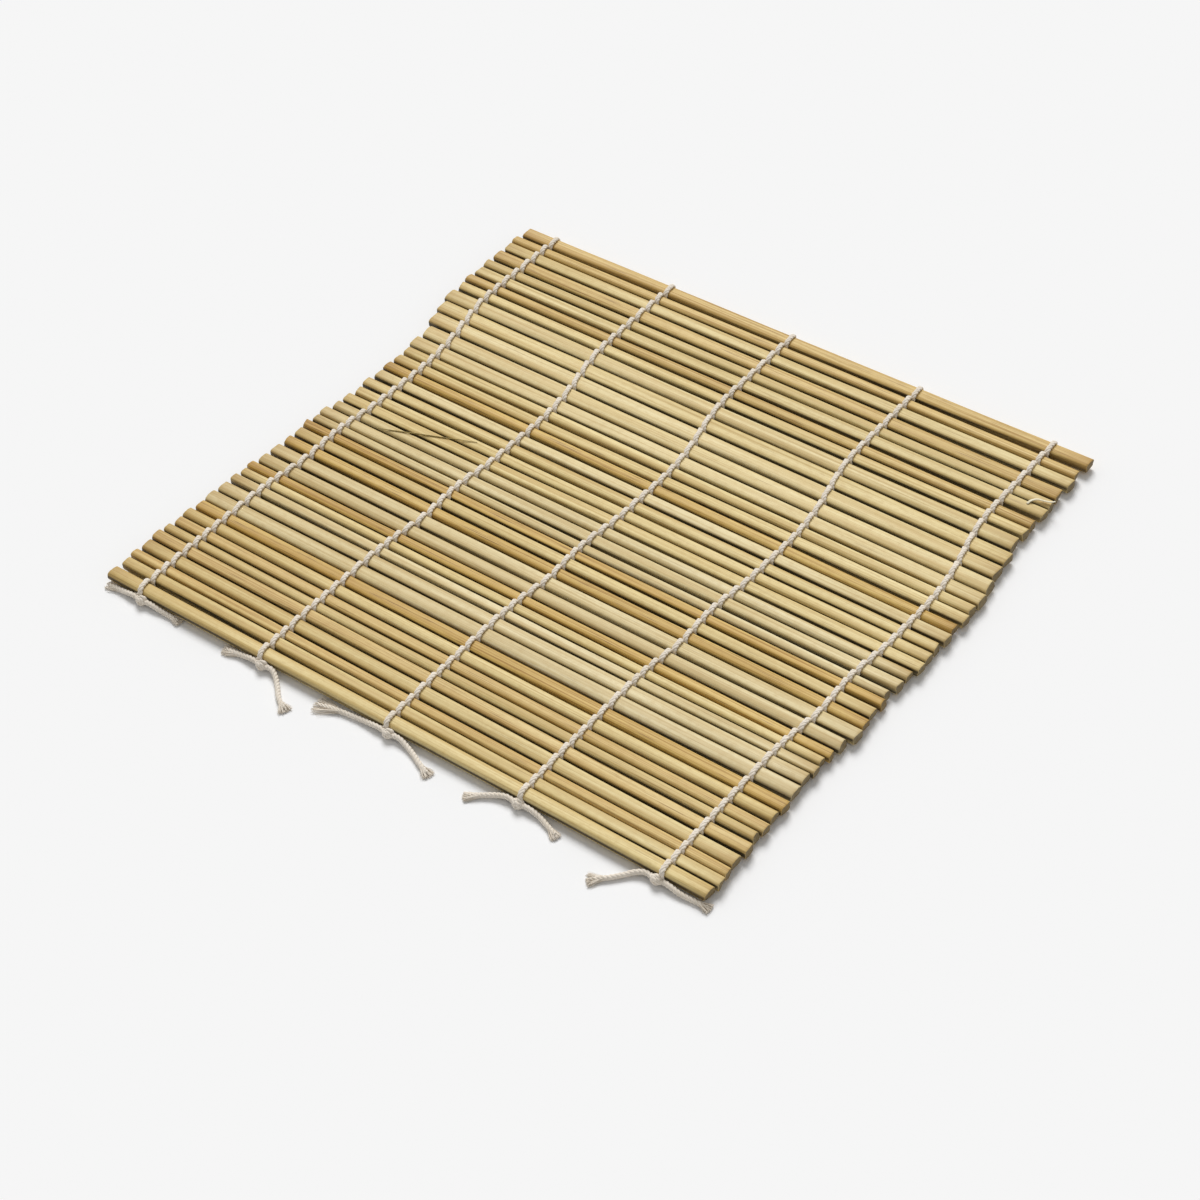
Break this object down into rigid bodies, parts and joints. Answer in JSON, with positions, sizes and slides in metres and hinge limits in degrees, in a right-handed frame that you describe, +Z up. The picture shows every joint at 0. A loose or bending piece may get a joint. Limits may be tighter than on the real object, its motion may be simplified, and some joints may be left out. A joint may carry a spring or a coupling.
{
  "type": "sushi rolling mat",
  "caption": "Square mat of split bamboo slats twined side by side on knotted cotton cords, so that it lies flat and rolls up.",
  "frame": {"origin": "on the table under the middle of the outline of the slats and cords, without the tails", "axes": "+X along the slats to the right, +Y from the knotted near edge to the looped far edge, +Z up"},
  "size_m": [0.2455, 0.2398, 0.0053],
  "materials": {
    "bamboo_straw": "bare satin bamboo",
    "bamboo_pale": "bare satin bamboo, paler",
    "bamboo_tan": "bare satin bamboo, tan",
    "bamboo_amber": "bare satin bamboo, amber",
    "cotton_cord": "unbleached twisted cotton"
  },
  "bodies": {
    "row_01": {"slat_01": "bamboo_straw", "cord_1": "cotton_cord", "cord_2": "cotton_cord", "cord_3": "cotton_cord", "cord_4": "cotton_cord", "cord_5": "cotton_cord", "cord_1_tails": "cotton_cord", "cord_2_tails": "cotton_cord", "cord_3_tails": "cotton_cord", "cord_4_tails": "cotton_cord", "cord_5_tails": "cotton_cord"},
    "row_02": {"slat_02": "bamboo_straw"},
    "row_03": {"slat_03": "bamboo_straw"},
    "row_04": {"slat_04": "bamboo_straw"},
    "row_05": {"slat_05": "bamboo_straw"},
    "row_06": {"slat_06": "bamboo_straw"},
    "row_07": {"slat_07": "bamboo_straw"},
    "row_08": {"slat_08": "bamboo_straw"},
    "row_09": {"slat_09": "bamboo_amber"},
    "row_10": {"slat_10": "bamboo_pale"},
    "row_11": {"slat_11": "bamboo_pale"},
    "row_12": {"slat_12": "bamboo_pale"},
    "row_13": {"slat_13": "bamboo_straw"},
    "row_14": {"slat_14": "bamboo_amber"},
    "row_15": {"slat_15": "bamboo_pale"},
    "row_16": {"slat_16": "bamboo_pale"},
    "row_17": {"slat_17": "bamboo_amber"},
    "row_18": {"slat_18": "bamboo_straw"},
    "row_19": {"slat_19": "bamboo_amber"},
    "row_20": {"slat_20": "bamboo_pale"},
    "row_21": {"slat_21": "bamboo_pale"},
    "row_22": {"slat_22": "bamboo_pale"},
    "row_23": {"slat_23": "bamboo_straw"},
    "row_24": {"slat_24": "bamboo_straw"},
    "row_25": {"slat_25": "bamboo_straw"},
    "row_26": {"slat_26": "bamboo_pale"},
    "row_27": {"slat_27": "bamboo_amber"},
    "row_28": {"slat_28": "bamboo_straw"},
    "row_29": {"slat_29": "bamboo_straw"},
    "row_30": {"slat_30": "bamboo_pale"},
    "row_31": {"slat_31": "bamboo_pale"},
    "row_32": {"slat_32": "bamboo_pale"},
    "row_33": {"slat_33": "bamboo_straw"},
    "row_34": {"slat_34": "bamboo_pale"},
    "row_35": {"slat_35": "bamboo_straw"},
    "row_36": {"slat_36": "bamboo_tan"},
    "row_37": {"slat_37": "bamboo_straw"},
    "row_38": {"slat_38": "bamboo_straw"},
    "row_39": {"slat_39": "bamboo_tan"},
    "row_40": {"slat_40": "bamboo_straw"},
    "row_41": {"slat_41": "bamboo_tan"},
    "row_42": {"slat_42": "bamboo_tan"}
  },
  "joints": [
    {"name": "bend_01_02", "type": "hinge", "parent": "row_01", "child": "row_02", "pos_m": [0, -0.10634, 0.00265], "axis": [1, 0, 0], "range_deg": [0, 12.8], "deforming": ["cord_1", "cord_2", "cord_3", "cord_4", "cord_5"]},
    {"name": "bend_02_03", "type": "hinge", "parent": "row_02", "child": "row_03", "pos_m": [0, -0.10164, 0.00265], "axis": [1, 0, 0], "range_deg": [0, 11.1], "deforming": ["cord_1", "cord_2", "cord_3", "cord_4", "cord_5"]},
    {"name": "bend_03_04", "type": "hinge", "parent": "row_03", "child": "row_04", "pos_m": [0, -0.09737, 0.00265], "axis": [1, 0, 0], "range_deg": [0, 12.5], "deforming": ["cord_1", "cord_2", "cord_3", "cord_4", "cord_5"]},
    {"name": "bend_04_05", "type": "hinge", "parent": "row_04", "child": "row_05", "pos_m": [0, -0.09166, 0.00265], "axis": [1, 0, 0], "range_deg": [0, 13.7], "deforming": ["cord_1", "cord_2", "cord_3", "cord_4", "cord_5"]},
    {"name": "bend_05_06", "type": "hinge", "parent": "row_05", "child": "row_06", "pos_m": [0, -0.08646, 0.00265], "axis": [1, 0, 0], "range_deg": [0, 12.1], "deforming": ["cord_1", "cord_2", "cord_3", "cord_4", "cord_5"]},
    {"name": "bend_06_07", "type": "hinge", "parent": "row_06", "child": "row_07", "pos_m": [0, -0.08219, 0.00265], "axis": [1, 0, 0], "range_deg": [0, 11.6], "deforming": ["cord_1", "cord_2", "cord_3", "cord_4", "cord_5"]},
    {"name": "bend_07_08", "type": "hinge", "parent": "row_07", "child": "row_08", "pos_m": [0, -0.07749, 0.00265], "axis": [1, 0, 0], "range_deg": [0, 12.9], "deforming": ["cord_1", "cord_2", "cord_3", "cord_4", "cord_5"]},
    {"name": "bend_08_09", "type": "hinge", "parent": "row_08", "child": "row_09", "pos_m": [0, -0.07229, 0.00265], "axis": [1, 0, 0], "range_deg": [0, 13.7], "deforming": ["cord_1", "cord_2", "cord_3", "cord_4", "cord_5"]},
    {"name": "bend_09_10", "type": "hinge", "parent": "row_09", "child": "row_10", "pos_m": [0, -0.06709, 0.00265], "axis": [1, 0, 0], "range_deg": [0, 15.3], "deforming": ["cord_1", "cord_2", "cord_3", "cord_4", "cord_5"]},
    {"name": "bend_10_11", "type": "hinge", "parent": "row_10", "child": "row_11", "pos_m": [0, -0.06071, 0.00265], "axis": [1, 0, 0], "range_deg": [0, 16.2], "deforming": ["cord_1", "cord_2", "cord_3", "cord_4", "cord_5"]},
    {"name": "bend_11_12", "type": "hinge", "parent": "row_11", "child": "row_12", "pos_m": [0, -0.05501, 0.00265], "axis": [1, 0, 0], "range_deg": [0, 13.6], "deforming": ["cord_1", "cord_2", "cord_3", "cord_4", "cord_5"]},
    {"name": "bend_12_13", "type": "hinge", "parent": "row_12", "child": "row_13", "pos_m": [0, -0.05073, 0.00265], "axis": [1, 0, 0], "range_deg": [0, 11.8], "deforming": ["cord_1", "cord_2", "cord_3", "cord_4", "cord_5"]},
    {"name": "bend_13_14", "type": "hinge", "parent": "row_13", "child": "row_14", "pos_m": [0, -0.04646, 0.00265], "axis": [1, 0, 0], "range_deg": [0, 11.9], "deforming": ["cord_1", "cord_2", "cord_3", "cord_4", "cord_5"]},
    {"name": "bend_14_15", "type": "hinge", "parent": "row_14", "child": "row_15", "pos_m": [0, -0.04218, 0.00265], "axis": [1, 0, 0], "range_deg": [0, 14], "deforming": ["cord_1", "cord_2", "cord_3", "cord_4", "cord_5"]},
    {"name": "bend_15_16", "type": "hinge", "parent": "row_15", "child": "row_16", "pos_m": [0, -0.03648, 0.00265], "axis": [1, 0, 0], "range_deg": [0, 16.2], "deforming": ["cord_1", "cord_2", "cord_3", "cord_4", "cord_5"]},
    {"name": "bend_16_17", "type": "hinge", "parent": "row_16", "child": "row_17", "pos_m": [0, -0.03077, 0.00265], "axis": [1, 0, 0], "range_deg": [0, 15.7], "deforming": ["cord_1", "cord_2", "cord_3", "cord_4", "cord_5"]},
    {"name": "bend_17_18", "type": "hinge", "parent": "row_17", "child": "row_18", "pos_m": [0, -0.02557, 0.00265], "axis": [1, 0, 0], "range_deg": [0, 15.2], "deforming": ["cord_1", "cord_2", "cord_3", "cord_4", "cord_5"]},
    {"name": "bend_18_19", "type": "hinge", "parent": "row_18", "child": "row_19", "pos_m": [0, -0.02037, 0.00265], "axis": [1, 0, 0], "range_deg": [0, 14.1], "deforming": ["cord_1", "cord_2", "cord_3", "cord_4", "cord_5"]},
    {"name": "bend_19_20", "type": "hinge", "parent": "row_19", "child": "row_20", "pos_m": [0, -0.0161, 0.00265], "axis": [1, 0, 0], "range_deg": [0, 12.9], "deforming": ["cord_1", "cord_2", "cord_3", "cord_4", "cord_5"]},
    {"name": "bend_20_21", "type": "hinge", "parent": "row_20", "child": "row_21", "pos_m": [0, -0.01182, 0.00265], "axis": [1, 0, 0], "range_deg": [0, 14.4], "deforming": ["cord_1", "cord_2", "cord_3", "cord_4", "cord_5"]},
    {"name": "bend_21_22", "type": "hinge", "parent": "row_21", "child": "row_22", "pos_m": [0, -0.00662, 0.00265], "axis": [1, 0, 0], "range_deg": [0, 16.1], "deforming": ["cord_1", "cord_2", "cord_3", "cord_4", "cord_5"]},
    {"name": "bend_22_23", "type": "hinge", "parent": "row_22", "child": "row_23", "pos_m": [0, -0.00142, 0.00265], "axis": [1, 0, 0], "range_deg": [0, 16.3], "deforming": ["cord_1", "cord_2", "cord_3", "cord_4", "cord_5"]},
    {"name": "bend_23_24", "type": "hinge", "parent": "row_23", "child": "row_24", "pos_m": [0, 0.00378, 0.00265], "axis": [1, 0, 0], "range_deg": [0, 16.6], "deforming": ["cord_1", "cord_2", "cord_3", "cord_4", "cord_5"]},
    {"name": "bend_24_25", "type": "hinge", "parent": "row_24", "child": "row_25", "pos_m": [0, 0.00898, 0.00265], "axis": [1, 0, 0], "range_deg": [0, 16.8], "deforming": ["cord_1", "cord_2", "cord_3", "cord_4", "cord_5"]},
    {"name": "bend_25_26", "type": "hinge", "parent": "row_25", "child": "row_26", "pos_m": [0, 0.01418, 0.00265], "axis": [1, 0, 0], "range_deg": [0, 17.1], "deforming": ["cord_1", "cord_2", "cord_3", "cord_4", "cord_5"]},
    {"name": "bend_26_27", "type": "hinge", "parent": "row_26", "child": "row_27", "pos_m": [0, 0.01938, 0.00265], "axis": [1, 0, 0], "range_deg": [0, 17.4], "deforming": ["cord_1", "cord_2", "cord_3", "cord_4", "cord_5"]},
    {"name": "bend_27_28", "type": "hinge", "parent": "row_27", "child": "row_28", "pos_m": [0, 0.02458, 0.00265], "axis": [1, 0, 0], "range_deg": [0, 17.8], "deforming": ["cord_1", "cord_2", "cord_3", "cord_4", "cord_5"]},
    {"name": "bend_28_29", "type": "hinge", "parent": "row_28", "child": "row_29", "pos_m": [0, 0.02978, 0.00265], "axis": [1, 0, 0], "range_deg": [0, 18.1], "deforming": ["cord_1", "cord_2", "cord_3", "cord_4", "cord_5"]},
    {"name": "bend_29_30", "type": "hinge", "parent": "row_29", "child": "row_30", "pos_m": [0, 0.03498, 0.00265], "axis": [1, 0, 0], "range_deg": [0, 20.5], "deforming": ["cord_1", "cord_2", "cord_3", "cord_4", "cord_5"]},
    {"name": "bend_30_31", "type": "hinge", "parent": "row_30", "child": "row_31", "pos_m": [0, 0.04135, 0.00265], "axis": [1, 0, 0], "range_deg": [0, 24.4], "deforming": ["cord_1", "cord_2", "cord_3", "cord_4", "cord_5"]},
    {"name": "bend_31_32", "type": "hinge", "parent": "row_31", "child": "row_32", "pos_m": [0, 0.04849, 0.00265], "axis": [1, 0, 0], "range_deg": [0, 26.4], "deforming": ["cord_1", "cord_2", "cord_3", "cord_4", "cord_5"]},
    {"name": "bend_32_33", "type": "hinge", "parent": "row_32", "child": "row_33", "pos_m": [0, 0.05562, 0.00265], "axis": [1, 0, 0], "range_deg": [0, 27.2], "deforming": ["cord_1", "cord_2", "cord_3", "cord_4", "cord_5"]},
    {"name": "bend_33_34", "type": "hinge", "parent": "row_33", "child": "row_34", "pos_m": [0, 0.06275, 0.00265], "axis": [1, 0, 0], "range_deg": [0, 28.1], "deforming": ["cord_1", "cord_2", "cord_3", "cord_4", "cord_5"]},
    {"name": "bend_34_35", "type": "hinge", "parent": "row_34", "child": "row_35", "pos_m": [0, 0.06988, 0.00265], "axis": [1, 0, 0], "range_deg": [0, 25.2], "deforming": ["cord_1", "cord_2", "cord_3", "cord_4", "cord_5"]},
    {"name": "bend_35_36", "type": "hinge", "parent": "row_35", "child": "row_36", "pos_m": [0, 0.07508, 0.00265], "axis": [1, 0, 0], "range_deg": [0, 22.1], "deforming": ["cord_1", "cord_2", "cord_3", "cord_4", "cord_5"]},
    {"name": "bend_36_37", "type": "hinge", "parent": "row_36", "child": "row_37", "pos_m": [0, 0.08028, 0.00265], "axis": [1, 0, 0], "range_deg": [0, 23.8], "deforming": ["cord_1", "cord_2", "cord_3", "cord_4", "cord_5"]},
    {"name": "bend_37_38", "type": "hinge", "parent": "row_37", "child": "row_38", "pos_m": [0, 0.08599, 0.00265], "axis": [1, 0, 0], "range_deg": [0, 24.6], "deforming": ["cord_1", "cord_2", "cord_3", "cord_4", "cord_5"]},
    {"name": "bend_38_39", "type": "hinge", "parent": "row_38", "child": "row_39", "pos_m": [0, 0.09119, 0.00265], "axis": [1, 0, 0], "range_deg": [0, 27], "deforming": ["cord_1", "cord_2", "cord_3", "cord_4", "cord_5"]},
    {"name": "bend_39_40", "type": "hinge", "parent": "row_39", "child": "row_40", "pos_m": [0, 0.09756, 0.00265], "axis": [1, 0, 0], "range_deg": [0, 29.2], "deforming": ["cord_1", "cord_2", "cord_3", "cord_4", "cord_5"]},
    {"name": "bend_40_41", "type": "hinge", "parent": "row_40", "child": "row_41", "pos_m": [0, 0.10327, 0.00265], "axis": [1, 0, 0], "range_deg": [0, 27.7], "deforming": ["cord_1", "cord_2", "cord_3", "cord_4", "cord_5"]},
    {"name": "bend_41_42", "type": "hinge", "parent": "row_41", "child": "row_42", "pos_m": [0, 0.10847, 0.00265], "axis": [1, 0, 0], "range_deg": [0, 30.6], "deforming": ["cord_1", "cord_2", "cord_3", "cord_4", "cord_5"]}
  ]
}
